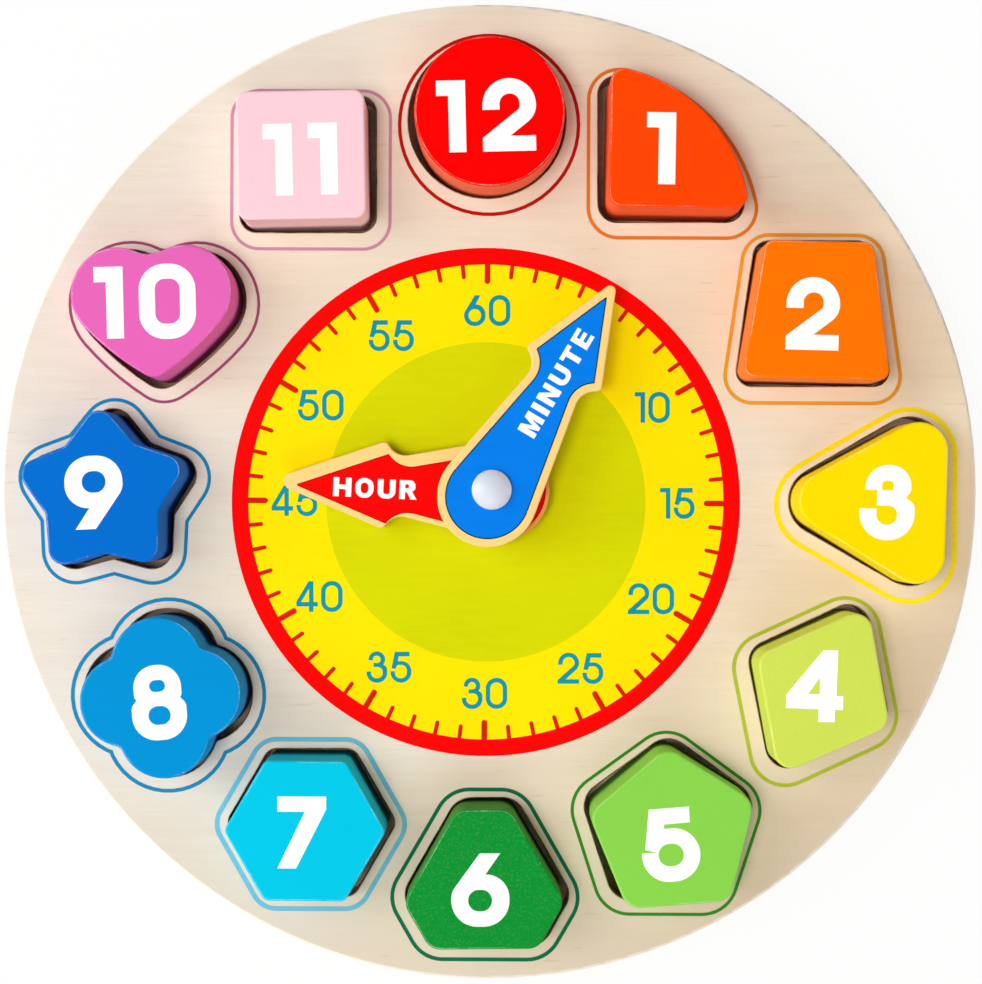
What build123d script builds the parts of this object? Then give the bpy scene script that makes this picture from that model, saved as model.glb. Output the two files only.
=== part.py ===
"""A wooden shape sorting clock. Twelve numbered blocks stand in sockets of their own shape, round
a board of two layers, and two hands turn on a domed pivot in the middle of its printed dial.

Lengths are in millimetres and angles in degrees. The board's back lies on z = 0, its face looks
along +Z, and the hour twelve is towards +Y."""
import os
from math import acos, asin, atan2, cos, degrees, hypot, pi, radians, sin, sqrt, tan

from build123d import *

# Board: a thin back panel glued behind a face panel that the sockets go right through
back_thickness = 3.0
face_thickness = 9.0
rim_margin = 4.8
rim_round = 0.8

# Sockets and blocks
socket_web = 6.15
socket_clearance = 1.25
block_height = 20.0
block_edge_round = 0.6
block_arm = 16.0

# Outlines of the blocks
disc_radius = 16.25
quarter_radius = 34.15
quarter_setback = 3.55
quarter_corner_round = 3.0
trapezium_base = 32.0
trapezium_height = 29.7
trapezium_side_angle = 81.7
trapezium_corner_round = 2.3
triangle_apothem = 12.7
triangle_corner_round = 6.25
rhombus_apothem = 12.8
rhombus_acute_angle = 76.4
rhombus_lean_angle = 63.2
rhombus_corner_round = 3.8
pentagon_apothem = 15.3
pentagon_corner_round = 4.3
cut_triangle_long_apothem = 13.4
cut_triangle_short_apothem = 16.75
cut_triangle_corner_round = 3.95
hexagon_apothem = 15.1
hexagon_corner_round = 2.0
quatrefoil_offset = 7.55
quatrefoil_lobe_radius = 9.85
quatrefoil_cusp_round = 2.0
star_tip_radius = 19.9
star_notch_radius = 12.9
star_tip_round = 3.45
star_notch_round = 2.0
heart_lobe_offset = 7.3
heart_lobe_radius = 10.05
heart_side_angle = 48.6
heart_side_radius = 60.0
heart_tip_round = 3.95
heart_dip_round = 6.5
square_side = 27.7
square_corner_round = 2.4

# Each socket's distance from the middle as a share of the ring, and its drift in degrees
# off its hour line, anticlockwise
ring_shares = {
    12: 0.977, 1: 1.018, 2: 0.969, 3: 1.028, 4: 1.003, 5: 0.994,
    6: 1.017, 7: 0.985, 8: 0.993, 9: 0.986, 10: 0.994, 11: 0.981,
}
drift_angles = {
    12: 0.3, 1: 2.0, 2: -1.2, 3: -1.4, 4: -0.6, 5: -1.8, 6: -0.3, 7: 1.8, 8: 2.1, 9: 0.5, 10: -0.3, 11: -1.1,
}
# How each block has come to lie in its socket: its shift along X and Y as shares of the
# clearance, and its turn as a share of the angle that the clearance spans at block_arm
shift_shares = {
    12: (0.48, -0.40), 1: (0.56, 0.22), 2: (-0.52, -0.24), 3: (-0.52, -0.20), 4: (-0.56, -0.04),
    5: (0.16, -0.12), 6: (-0.52, 0.28), 7: (-0.34, -0.08), 8: (0.08, -0.08), 9: (-0.28, 0.20),
    10: (-0.36, 0.40), 11: (-0.44, 0.08),
}
turn_shares = {
    12: 0.29, 1: -0.22, 2: -0.31, 3: -0.40, 4: -0.27, 5: 0.96,
    6: 0.11, 7: -0.11, 8: 1.34, 9: 0.45, 10: 0.54, 11: 0.25,
}

# Pivot: a domed pin through the board and the hands, held by a cap that is pressed on its end
pivot_x = 0.6
pivot_y = 0.3
shaft_radius = 2.5
knob_radius = 4.3
knob_rim = 0.7
knob_dome = 1.7
board_hole_clearance = 0.15
cap_radius = 6.5
cap_thickness = 2.5
cap_clearance = 0.3
cap_grip_clearance = 0.04
cap_edge_round = 0.5

# Hands and the washers that carry them
hand_thickness = 3.0
hand_edge_round = 0.35
hand_running_clearance = 0.08
hand_play = 0.2
spacer_radius = 6.0
spacer_thickness = 1.5
hand_washer_radius = 5.5
hand_washer_thickness = 0.6
washer_clearance = 0.1
tail_radius = 10.9
tail_back = 1.75
notch_round = 4.2
notch_limit_share = 0.95
barb_round = 1.2
barb_angle = 57.0
hour_length = 45.4
hour_head_length = 22.0
hour_barb_half_width = 9.65
hour_neck_half_width = 6.2
hour_tip_round = 1.9
hour_clock_angle = 272.6
minute_length = 51.2
minute_head_length = 20.8
minute_barb_half_width = 9.45
minute_neck_half_width = 5.7
minute_tip_round = 1.2
minute_clock_angle = 30.8

# Levels that follow from the layers
face_level = back_thickness + face_thickness
hour_level = face_level + spacer_thickness + hand_play
hand_washer_level = hour_level + hand_thickness + hand_play
minute_level = hand_washer_level + hand_washer_thickness + hand_play
knob_level = minute_level + hand_thickness + hand_play


# Outlines, each drawn about the middle of its block

def disc():
    with BuildSketch() as outline:
        Circle(disc_radius)
    return outline.sketch


def quarter_disc():
    """Two legs square to each other, and a round side struck from just outside their corner."""
    corner_centre = quarter_corner_round + quarter_setback
    reach = sqrt((quarter_radius - quarter_corner_round) ** 2 - corner_centre**2) - quarter_setback
    middle = (reach + quarter_corner_round) / 2
    with BuildSketch() as outline:
        with Locations((-middle - quarter_setback, -middle - quarter_setback)):
            Circle(quarter_radius)
        with Locations((-middle, -middle)):
            Rectangle(quarter_radius, quarter_radius, align=(Align.MIN, Align.MIN), mode=Mode.INTERSECT)
        fillet(outline.vertices(), quarter_corner_round)
    return outline.sketch


def trapezium():
    with BuildSketch() as outline:
        Trapezoid(trapezium_base, trapezium_height, trapezium_side_angle)
        fillet(outline.vertices(), trapezium_corner_round)
    return outline.sketch


def triangle():
    """A triangle of three like sides that points to the left."""
    with BuildSketch() as outline:
        RegularPolygon(triangle_apothem, 3, major_radius=False, rotation=180)
        fillet(outline.vertices(), triangle_corner_round)
    return outline.sketch


def rhombus():
    """A rhombus whose sharper corners are at the upper right and the lower left."""
    half_angle = radians(rhombus_acute_angle / 2)
    long_half = rhombus_apothem / sin(half_angle)
    short_half = rhombus_apothem / cos(half_angle)
    with BuildSketch() as outline:
        Polygon((long_half, 0), (0, short_half), (-long_half, 0), (0, -short_half), rotation=rhombus_lean_angle)
        fillet(outline.vertices(), rhombus_corner_round)
    return outline.sketch


def pentagon():
    with BuildSketch() as outline:
        RegularPolygon(pentagon_apothem, 5, major_radius=False, rotation=90)
        fillet(outline.vertices(), pentagon_corner_round)
    return outline.sketch


def cut_triangle():
    """A triangle that points up, with its three corners cut square."""
    with BuildSketch() as outline:
        RegularPolygon(cut_triangle_long_apothem, 3, major_radius=False, rotation=90)
        RegularPolygon(
            cut_triangle_short_apothem, 3, major_radius=False, rotation=-90, mode=Mode.INTERSECT
        )
        fillet(outline.vertices(), cut_triangle_corner_round)
    return outline.sketch


def hexagon():
    with BuildSketch() as outline:
        RegularPolygon(hexagon_apothem, 6, major_radius=False)
        fillet(outline.vertices(), hexagon_corner_round)
    return outline.sketch


def quatrefoil():
    with BuildSketch() as outline:
        with PolarLocations(quatrefoil_offset, 4):
            Circle(quatrefoil_lobe_radius)
        fillet(outline.vertices(), quatrefoil_cusp_round)
    return outline.sketch


def star():
    """Five blunt points, with one straight up."""
    points = []
    for point in range(5):
        tip_angle = radians(90 + point * 360 / 5)
        notch_angle = radians(90 + (point + 1 / 2) * 360 / 5)
        points.append((star_tip_radius * cos(tip_angle), star_tip_radius * sin(tip_angle)))
        points.append((star_notch_radius * cos(notch_angle), star_notch_radius * sin(notch_angle)))
    with BuildSketch() as outline:
        with BuildLine():
            FilletPolyline(*points, radius=[star_tip_round, star_notch_round] * 5, close=True)
        make_face()
    return outline.sketch


def heart():
    """Two lobes, a shallow dip between them and gently bowed sides that run to a blunt tip."""
    # Each side is an arc that leaves its lobe smoothly and ends where it meets the other side
    shoulder_lean = radians(heart_side_angle)
    side_reach = heart_side_radius - heart_lobe_radius
    centre_x = heart_lobe_offset - side_reach * sin(shoulder_lean)
    centre_y = side_reach * cos(shoulder_lean)
    tip_lean = asin(-centre_x / heart_side_radius)
    touch, belly, tip = (
        (centre_x + heart_side_radius * sin(lean), centre_y - heart_side_radius * cos(lean))
        for lean in (shoulder_lean, (shoulder_lean + tip_lean) / 2, tip_lean)
    )
    with BuildSketch() as outline:
        with Locations((-heart_lobe_offset, 0), (heart_lobe_offset, 0)):
            Circle(heart_lobe_radius)
        with BuildLine():
            Polyline((-touch[0], touch[1]), (-heart_lobe_offset, 0), (heart_lobe_offset, 0), touch)
            ThreePointArc(touch, belly, tip)
            ThreePointArc(tip, (-belly[0], belly[1]), (-touch[0], touch[1]))
        make_face()
        fillet(outline.vertices().sort_by(Axis.Y)[0], heart_tip_round)
        fillet(outline.vertices().sort_by(Axis.Y)[-1], heart_dip_round)
    return outline.sketch


def square():
    with BuildSketch() as outline:
        Rectangle(square_side, square_side)
        fillet(outline.vertices(), square_corner_round)
    return outline.sketch


def hand_outline(length, head_length, half_barb, half_neck, tip_round):
    """A hand that points along +X: a round tail, sides that narrow to a notch, and an arrow head."""
    barb = length - head_length
    notch = barb - (half_barb - half_neck) / tan(radians(barb_angle))
    # The head's sides run from the barbs past the round of the tip to the point where they meet
    round_centre = length - tip_round
    head_run = round_centre - barb
    head_angle = atan2(half_barb, head_run) - asin(tip_round / hypot(half_barb, head_run))
    sharp_tip = round_centre + tip_round / sin(head_angle)
    # The long sides leave the tail's circle where a line from the notch touches it
    side_run = notch + tail_back
    shoulder_angle = atan2(half_neck, side_run) + acos(tail_radius / hypot(half_neck, side_run))
    shoulder_x = tail_radius * cos(shoulder_angle) - tail_back
    shoulder_y = tail_radius * sin(shoulder_angle)
    # The notch's round ends on the barb's back, before the barb's own round begins
    barb_turn = radians(barb_angle) + head_angle
    notch_turn = radians(barb_angle) + pi / 2 - shoulder_angle
    notch_room = (half_barb - half_neck) / sin(radians(barb_angle)) - barb_round * tan(barb_turn / 2)
    notch_limit = notch_limit_share * notch_room / tan(notch_turn / 2)
    with BuildSketch() as outline:
        with BuildLine():
            FilletPolyline(
                (shoulder_x, shoulder_y), (notch, half_neck), (barb, half_barb), (sharp_tip, 0),
                (barb, -half_barb), (notch, -half_neck), (shoulder_x, -shoulder_y),
                radius=[min(notch_round, notch_limit), barb_round, tip_round, barb_round,
                        min(notch_round, notch_limit)],
            )
            ThreePointArc((shoulder_x, -shoulder_y), (-tail_back - tail_radius, 0), (shoulder_x, shoulder_y))
        make_face()
        Circle(shaft_radius + hand_running_clearance, mode=Mode.SUBTRACT)
    return outline.sketch


blocks = {
    12: ("disc", disc()),
    1: ("quarter_disc", quarter_disc()),
    2: ("trapezium", trapezium()),
    3: ("triangle", triangle()),
    4: ("rhombus", rhombus()),
    5: ("pentagon", pentagon()),
    6: ("cut_triangle", cut_triangle()),
    7: ("hexagon", hexagon()),
    8: ("quatrefoil", quatrefoil()),
    9: ("star", star()),
    10: ("heart", heart()),
    11: ("square", square()),
}

# The ring of sockets is as wide as the widest block needs, and the board reaches past the ring
hour_step = 2 * pi / len(blocks)
widest_block = max(
    max(outline.bounding_box().size.X, outline.bounding_box().size.Y) for shape, outline in blocks.values()
)
socket_width = widest_block + 2 * socket_clearance
socket_ring = (socket_width + socket_web) / (2 * sin(hour_step / 2))
board_radius = socket_ring + socket_width / 2 + rim_margin


def socket_plane(hour, level):
    """The plane of an hour's socket, with its origin in the middle of the socket."""
    distance = socket_ring * ring_shares[hour]
    angle = pi / 2 - hour * hour_step + radians(drift_angles[hour])
    return Plane(origin=(distance * cos(angle), distance * sin(angle), level))


def block_plane(hour):
    """The plane that a block stands on, as it has come to lie in its socket."""
    shift_x, shift_y = shift_shares[hour]
    turn = degrees(turn_shares[hour] * socket_clearance / block_arm)
    seat = socket_plane(hour, back_thickness)
    middle = seat.origin + Vector(shift_x * socket_clearance, shift_y * socket_clearance)
    return Plane(origin=middle).rotated((0, 0, turn))


def pivot_plane(level, clock_angle=90.0):
    """A plane on the pivot's axis, with +X along a hand at this angle clockwise from twelve."""
    return Plane(origin=(pivot_x, pivot_y, level)).rotated((0, 0, 90 - clock_angle))


pieces = []

# Back panel, with a round hole that the pivot's cap sits in
with BuildPart() as back_panel:
    with BuildSketch():
        Circle(board_radius)
    extrude(amount=back_thickness)
    fillet(back_panel.edges().sort_by(Axis.Z)[0], rim_round)
    with BuildSketch(pivot_plane(0)):
        Circle(cap_radius + cap_clearance)
    extrude(amount=back_thickness, mode=Mode.SUBTRACT)
back_panel.part.label = "back_panel"
pieces.append(back_panel.part)

# Face panel, with a socket through it for each block and a hole for the pin
with BuildPart() as face_panel:
    with BuildSketch(Plane.XY.offset(back_thickness)):
        Circle(board_radius)
    extrude(amount=face_thickness)
    fillet(face_panel.edges().sort_by(Axis.Z)[-1], rim_round)
    for hour, (shape, outline) in blocks.items():
        with BuildSketch(socket_plane(hour, back_thickness)):
            add(outline)
            offset(amount=socket_clearance, kind=Kind.ARC)
        extrude(amount=face_thickness, mode=Mode.SUBTRACT)
    with BuildSketch(pivot_plane(back_thickness)):
        Circle(shaft_radius + board_hole_clearance)
    extrude(amount=face_thickness, mode=Mode.SUBTRACT)
face_panel.part.label = "face_panel"
pieces.append(face_panel.part)

# Blocks, each standing on the back panel with its edges softened at both ends
for hour, (shape, outline) in blocks.items():
    with BuildPart() as block:
        with BuildSketch(block_plane(hour)):
            add(outline)
        extrude(amount=block_height)
        ends = block.faces().filter_by(Axis.Z)
        fillet(ends.edges(), block_edge_round)
    block.part.label = f"block_{hour}_{shape}"
    pieces.append(block.part)

# Spacer washer on the face, under the hour hand
with BuildPart() as spacer_washer:
    with BuildSketch(pivot_plane(face_level)):
        Circle(spacer_radius)
        Circle(shaft_radius + washer_clearance, mode=Mode.SUBTRACT)
    extrude(amount=spacer_thickness)
spacer_washer.part.label = "spacer_washer"
pieces.append(spacer_washer.part)

# Hour hand, the lower of the two
with BuildPart() as hour_hand:
    with BuildSketch(pivot_plane(hour_level, hour_clock_angle)):
        add(hand_outline(
            hour_length, hour_head_length, hour_barb_half_width, hour_neck_half_width, hour_tip_round))
    extrude(amount=hand_thickness)
    fillet(hour_hand.faces().filter_by(Axis.Z).wires().filter_by(
        lambda wire: wire.length > 4 * tail_radius).edges(), hand_edge_round)
hour_hand.part.label = "hour_hand"
pieces.append(hour_hand.part)

# Washer between the hands
with BuildPart() as hand_washer:
    with BuildSketch(pivot_plane(hand_washer_level)):
        Circle(hand_washer_radius)
        Circle(shaft_radius + washer_clearance, mode=Mode.SUBTRACT)
    extrude(amount=hand_washer_thickness)
hand_washer.part.label = "hand_washer"
pieces.append(hand_washer.part)

# Minute hand, over the hour hand
with BuildPart() as minute_hand:
    with BuildSketch(pivot_plane(minute_level, minute_clock_angle)):
        add(hand_outline(
            minute_length, minute_head_length, minute_barb_half_width, minute_neck_half_width, minute_tip_round))
    extrude(amount=hand_thickness)
    fillet(minute_hand.faces().filter_by(Axis.Z).wires().filter_by(
        lambda wire: wire.length > 4 * tail_radius).edges(), hand_edge_round)
minute_hand.part.label = "minute_hand"
pieces.append(minute_hand.part)

# Pivot knob: a domed head and a plain shaft that ends inside the cap
cap_top = back_thickness
cap_bottom = cap_top - cap_thickness
with BuildPart() as pivot_knob:
    with BuildSketch(Plane(origin=(pivot_x, pivot_y, 0), x_dir=(1, 0, 0), z_dir=(0, -1, 0))):
        with BuildLine():
            Polyline((0, knob_level + knob_rim + knob_dome), (0, cap_bottom), (shaft_radius, cap_bottom),
                     (shaft_radius, knob_level), (knob_radius, knob_level), (knob_radius, knob_level + knob_rim))
            dome_radius = (knob_radius**2 + knob_dome**2) / (2 * knob_dome)
            RadiusArc((knob_radius, knob_level + knob_rim), (0, knob_level + knob_rim + knob_dome), -dome_radius)
        make_face()
    revolve(axis=Axis((pivot_x, pivot_y, 0), (0, 0, 1)))
pivot_knob.part.label = "pivot_knob"
pieces.append(pivot_knob.part)

# Back cap, pressed on the shaft's end against the back of the face panel
with BuildPart() as back_cap:
    with BuildSketch(pivot_plane(cap_bottom)):
        Circle(cap_radius)
        Circle(shaft_radius + cap_grip_clearance, mode=Mode.SUBTRACT)
    extrude(amount=cap_thickness)
    fillet(back_cap.edges().group_by(Axis.Z)[0].sort_by(SortBy.LENGTH)[-1], cap_edge_round)
back_cap.part.label = "back_cap"
pieces.append(back_cap.part)

os.makedirs("parts", exist_ok=True)
for piece in pieces:
    export_step(piece, f"parts/{piece.label}.step")
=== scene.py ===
"""Shape sorting clock: prints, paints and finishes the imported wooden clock, and sets its stage."""
from math import atan2, ceil, cos, hypot, pi, radians, sin, tan

import bpy
from bpy.props import FloatProperty, FloatVectorProperty, PointerProperty
from mathutils.kdtree import KDTree
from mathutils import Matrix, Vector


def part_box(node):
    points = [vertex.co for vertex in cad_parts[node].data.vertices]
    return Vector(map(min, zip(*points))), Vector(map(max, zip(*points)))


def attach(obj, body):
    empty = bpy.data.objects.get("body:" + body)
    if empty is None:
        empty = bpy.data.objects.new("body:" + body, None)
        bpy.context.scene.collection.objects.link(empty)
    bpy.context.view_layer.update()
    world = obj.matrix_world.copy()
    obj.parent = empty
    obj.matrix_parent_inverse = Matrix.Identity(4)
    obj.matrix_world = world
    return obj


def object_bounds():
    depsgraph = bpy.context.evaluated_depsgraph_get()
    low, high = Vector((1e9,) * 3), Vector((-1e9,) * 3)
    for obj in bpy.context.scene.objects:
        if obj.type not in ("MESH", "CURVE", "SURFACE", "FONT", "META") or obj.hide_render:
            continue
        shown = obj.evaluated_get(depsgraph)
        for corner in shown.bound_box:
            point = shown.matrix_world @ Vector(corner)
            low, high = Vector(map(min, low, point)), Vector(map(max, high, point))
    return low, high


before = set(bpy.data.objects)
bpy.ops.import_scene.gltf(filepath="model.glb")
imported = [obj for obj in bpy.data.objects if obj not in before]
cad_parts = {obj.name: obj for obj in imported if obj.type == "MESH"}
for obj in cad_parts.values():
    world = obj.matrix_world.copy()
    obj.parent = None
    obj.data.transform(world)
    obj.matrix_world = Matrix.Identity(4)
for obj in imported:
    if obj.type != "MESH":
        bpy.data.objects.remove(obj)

bl_info = {
    "name": "Shape Sorting Clock",
    "version": (1, 0, 0),
    "blender": (4, 5, 0),
    "location": "3D View > Sidebar > Clock",
    "description": "Prints and paints the wooden shape sorting clock and sets up its stage",
    "category": "Object",
}

CAD_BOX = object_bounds()
FACE_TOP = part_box("face_panel")[1].z
MM = 0.001
BOARD_RADIUS = 107.5 * MM
# The middle of the pin, in millimetres, and where the hands point, in degrees from +X
PIVOT = (0.6, 0.3)
HOUR_TURN, MINUTE_TURN = 177.4, 59.2
# The dial is printed a little off the board's middle, and turned a little clockwise
DIAL_MIDDLE = (-0.68, -2.28)
DIAL_TURN = -0.4
# Points closer than this are merged, in a mesh in metres and in one in millimetres
MERGED_METRES = 1e-6
MERGED_MILLIMETRES = 1e-4

# Hour: (CAD node, numeral's offset from the block's middle in millimetres, numeral's turn in degrees)
BLOCKS = {
    12: ("block_12_disc", (-0.73, -1.00), 1.3),
    1: ("block_1_quarter_disc", (-3.67, -2.2), -1.0),
    2: ("block_2_trapezium", (-0.82, -0.89), -1.4),
    3: ("block_3_triangle", (2.89, 0.09), -1.8),
    4: ("block_4_rhombus", (-1.83, 1.11), -1.2),
    5: ("block_5_pentagon", (-0.40, -3.02), 4.6),
    6: ("block_6_cut_triangle", (-0.78, -2.08), 0.3),
    7: ("block_7_hexagon", (-0.66, -0.27), -0.3),
    8: ("block_8_quatrefoil", (-0.36, -0.97), 5.0),
    9: ("block_9_star", (-1.46, -1.18), 2.6),
    10: ("block_10_heart", (-1.30, 1.86), 1.4),
    11: ("block_11_square", (-0.10, -1.02), 1.4),
}
# How much painted light, bounced warm from the board, pales the paint on each block's walls
WALL_BOUNCE_SHARES = {12: 0.3, 1: 0.13, 2: 0.17, 3: 0.05, 4: 0.04, 5: 0.05,
               6: 0.1, 7: 0.02, 8: 0.03, 9: 0.03, 10: 0.06, 11: 0.1}
# The block whose paint is coarsely speckled
SPECKLED_HOUR = 6
# Space between the two digits of a block, in millimetres
DIGIT_SPACE = {10: 3.34, 11: 3.4, 12: 3.6}
# Space between two characters on the dial and on the hands, as a share of their height
NUMBER_SPACE = 0.11
MINUTE_SPACE = 0.23
HOUR_SPACE = 0.21
# From the pin, along and across the hand in millimetres: the left end of one word, the middle of the other
MINUTE_WORD_START = (14.1, -0.12)
HOUR_WORD_MIDDLE = (25.4, 0.8)
# The hour hand's paint departs from its outline: its shaft and head slide along and across the hand, in
# millimetres, and its tail is scaled. The tail's wood takes a share of painted orange light and shade.
HOUR_SLIDE = (-1.3, 0.78)
HOUR_TAIL = 1.075
HOUR_TAIL_BOUNCE = 0.75

# Screen colours of wood, and of painted shade and painted light on it
DARK_PLY = (0.80, 0.65, 0.48)
LIGHT_PLY = (0.91, 0.80, 0.64)
BROWN_GRAIN = (0.78, 0.62, 0.48)
# Painted shade at the board's foot and at its lower right edge
FOOT_SHADE = (0.85, 0.79, 0.71)
CORNER_SHADE = (0.80, 0.71, 0.60)
# Painted light on the board's rounded rim
RIM_LIGHT_COLOUR = (0.99, 0.96, 0.92)
SOCKET_WOOD = (0.64, 0.51, 0.43)
SCORCHED_WOOD = (0.74, 0.62, 0.50)
# Colour of the light that the board bounces onto the blocks' walls, painted into their paint
BOARD_BOUNCE = (0.93, 0.80, 0.60)
# Linear colour that rubbing adds to a halved paint, also used for the painted highlight along the blocks'
# edges
RUBBED_AND_GLINT = (0.42, 0.46, 0.43)
# Height of a dark and a light ply together
FACE_PLIES = 3 * MM
BACK_PLIES = 2 * MM

# The sockets' outlines are taken this far below the face
SECTION_DEPTH = 0.5 * MM
# Sizes and places on the stage, in metres
FLOOR_SIZE = 6
FLOOR_GAP = 0.2 * MM
KEY_PLACE = (-1.25, 0.28, 1.0)
FRONT_PLACE = (0.1, -1.2, 0.9)
SIDE_PLACE = (-1.4, 0.1, 0.3)
RIM_PLACE = (1.4, 0.1, 0.3)
TOP_PLACE = (-0.4, -0.2, 1.3)
CAMERA_Y = -0.005
CAMERA_SHIFT = (0.0021, 0.0227)
# In millimetres
SENSOR_WIDTH = 36


def panel(left, low, right, high, radius):
    """The corners of an upright rectangle with rounded corners."""
    return [(left, low, radius), (right, low, radius), (right, high, radius), (left, high, radius)]


# Each shape is a list of loops, the outline first and its holes after it. A loop's corners are
# (x, y) or (x, y, radius of the round), as shares of the height of a flat capital.
BOLD = {
    "0": [panel(0, -0.023, 0.79, 1.023, 0.36), panel(0.225, 0.19, 0.57, 0.815, 0.14)],
    "1": [[(0, 1), (0.406, 1), (0.406, 0), (0.168, 0), (0.168, 0.787), (0, 0.787)]],
    "2": [[(0, 0), (0.737, 0), (0.737, 0.214), (0.384, 0.214), (0.747, 0.497, 0.28), (0.747, 1.014, 0.37),
           (0.003, 1.014, 0.37), (0.003, 0.58), (0.24, 0.58), (0.24, 0.80, 0.14), (0.517, 0.80, 0.13),
           (0.517, 0.592, 0.06), (0, 0.19)]],
    "3": [[(0.076, 0.67), (0.076, 1.023, 0.315), (0.709, 1.023, 0.29), (0.709, 0.664, 0.11), (0.643, 0.572),
           (0.766, 0.481, 0.14), (0.766, -0.023, 0.37), (0, -0.023, 0.37), (0, 0.411), (0.236, 0.411),
           (0.236, 0.191, 0.14), (0.523, 0.191, 0.14), (0.523, 0.456, 0.12), (0.239, 0.456), (0.239, 0.67)],
          [(0.302, 0.67, 0.03), (0.466, 0.67, 0.03), (0.466, 0.802, 0.06), (0.302, 0.802, 0.06)]],
    "4": [[(0, 0.186), (0, 0.372), (0.504, 1), (0.71, 1), (0.70, 0.366), (0.794, 0.366), (0.794, 0.172),
           (0.682, 0.172), (0.68, 0), (0.452, 0), (0.452, 0.175)],
          [(0.464, 0.614), (0.303, 0.385), (0.464, 0.385)]],
    "5": [[(0.142, 1), (0.704, 1), (0.70, 0.78), (0.338, 0.775), (0.337, 0.716), (0.81, 0.719, 0.37),
           (0.81, -0.025, 0.37), (0, -0.025, 0.37), (0, 0.40), (0.207, 0.395), (0.05, 0.445)],
          panel(0.23, 0.191, 0.58, 0.503, 0.155)],
    "6": [[(0.397, 1), (0.681, 1), (0.476, 0.707), (0.807, 0.712, 0.325), (0.807, -0.018, 0.36),
           (0, -0.018, 0.36), (0, 0.46, 0.25)],
          panel(0.234, 0.195, 0.566, 0.495, 0.148)],
    "7": [[(0, 1), (0.677, 1), (0.675, 0.82), (0.262, 0), (0.003, 0), (0.381, 0.788), (0, 0.788)]],
    "8": [[(0.687, 0.548), (0.712, 0.60, 0.09), (0.712, 1.023, 0.31), (0.05, 1.023, 0.31),
           (0.05, 0.60, 0.09), (0.076, 0.548), (0, 0.466, 0.13), (0, -0.023, 0.34), (0.762, -0.023, 0.34),
           (0.762, 0.466, 0.13)],
          panel(0.271, 0.649, 0.491, 0.813, 0.08), panel(0.227, 0.19, 0.535, 0.45, 0.128)],
}
BOLD["9"] = [[(0.807 - x, 1 - y, *r) for x, y, *r in loop] for loop in BOLD["6"]]

THIN = {
    "0": [panel(0, -0.005, 0.70, 1.005, 0.34), panel(0.144, 0.139, 0.556, 0.861, 0.2)],
    "1": [[(0, 1), (0.335, 1), (0.335, 0), (0.19, 0), (0.19, 0.86), (0, 0.86)]],
    "2": [[(0, 0), (0.70, 0), (0.70, 0.144), (0.26, 0.144), (0.70, 0.54, 0.3), (0.70, 1.01, 0.33),
           (0.02, 1.01, 0.33), (0.02, 0.62), (0.165, 0.62), (0.165, 0.87, 0.19), (0.556, 0.87, 0.19),
           (0.556, 0.62, 0.1), (0, 0.12)]],
    "3": [[(0.06, 0.72), (0.06, 1.01, 0.27), (0.60, 1.01, 0.26), (0.60, 0.68, 0.12), (0.545, 0.585),
           (0.67, 0.50, 0.15), (0.67, -0.01, 0.32), (0, -0.01, 0.32), (0, 0.355), (0.144, 0.355),
           (0.144, 0.135, 0.17), (0.526, 0.135, 0.18), (0.526, 0.50, 0.16), (0.22, 0.50), (0.22, 0.635),
           (0.456, 0.635, 0.1), (0.456, 0.87, 0.12), (0.204, 0.87, 0.12), (0.204, 0.72)]],
    "4": [[(0, 0.175), (0, 0.33), (0.40, 1), (0.56, 1), (0.56, 0.32), (0.70, 0.32), (0.70, 0.175),
           (0.56, 0.175), (0.56, 0), (0.415, 0), (0.415, 0.175)],
          [(0.415, 0.76), (0.155, 0.32), (0.415, 0.32)]],
    "5": [[(0.14, 1), (0.62, 1), (0.62, 0.85), (0.265, 0.85), (0.24, 0.69), (0.68, 0.715, 0.33),
           (0.68, -0.01, 0.34), (0, -0.01, 0.34), (0, 0.36), (0.144, 0.36), (0.144, 0.135, 0.17),
           (0.536, 0.135, 0.19), (0.536, 0.57, 0.19), (0.22, 0.57, 0.05), (0.165, 0.44), (0.03, 0.46)]],
    "6": [[(0.35, 1), (0.53, 1), (0.375, 0.70), (0.70, 0.695, 0.32), (0.70, -0.01, 0.345),
           (0, -0.01, 0.345), (0, 0.42, 0.2)],
          panel(0.145, 0.135, 0.555, 0.545, 0.2)],
}

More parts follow.
